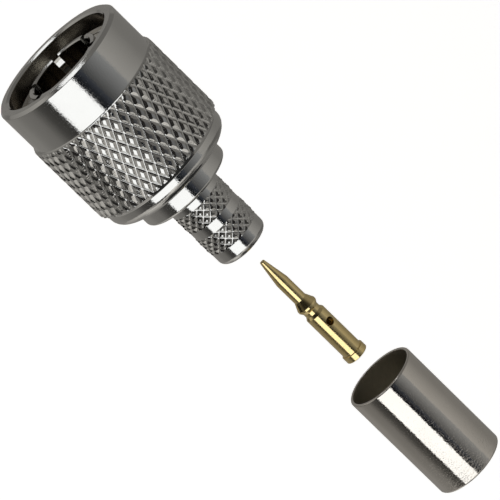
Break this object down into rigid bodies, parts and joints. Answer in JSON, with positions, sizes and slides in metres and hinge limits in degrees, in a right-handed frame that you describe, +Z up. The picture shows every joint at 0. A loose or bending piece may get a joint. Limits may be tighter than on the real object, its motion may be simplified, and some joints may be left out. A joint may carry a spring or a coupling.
{
  "type": "tnc connector",
  "caption": "Crimp-type TNC coaxial plug drawn apart on its axis: knurled coupling nut on a body with slotted outer contact and crimp stem, gold centre contact and plain crimp ferrule.",
  "frame": {"origin": "On the connector's axis at the mating plane, the front edge of the slotted outer contact.", "axes": "+X along the axis out of the mouth, towards the mating jack. The crimp stem, centre contact and ferrule follow towards -X. +Z up, through the centre contact's inspection hole."},
  "size_m": [0.0565, 0.0148, 0.0148],
  "materials": {
    "nickel_nut": "nickel plated, fine turned",
    "nickel_body": "nickel plated, polished",
    "ptfe": "turned PTFE, waxy white",
    "silicone": "matt red-brown silicone",
    "bronze": "bare spring bronze",
    "gold": "gold plated, bright",
    "nickel_ferrule": "nickel plated, satin"
  },
  "bodies": {
    "body": {"connector_body": "nickel_body", "insulator": "ptfe", "gasket": "silicone", "retaining_ring": "bronze"},
    "nut": {"coupling_nut": "nickel_nut"},
    "contact": {"centre_contact": "gold"},
    "ferrule": {"crimp_ferrule": "nickel_ferrule"}
  },
  "joints": [
    {"name": "nut_spin", "type": "hinge", "parent": "body", "child": "nut", "pos_m": [0, 0, 0], "axis": [1, 0, 0], "continuous": true},
    {"name": "contact_insert", "type": "slide", "parent": "body", "child": "contact", "axis": [1, 0, 0], "range_m": [0, 0.02649]},
    {"name": "ferrule_slide", "type": "slide", "parent": "body", "child": "ferrule", "axis": [1, 0, 0], "range_m": [0, 0.02654]}
  ]
}
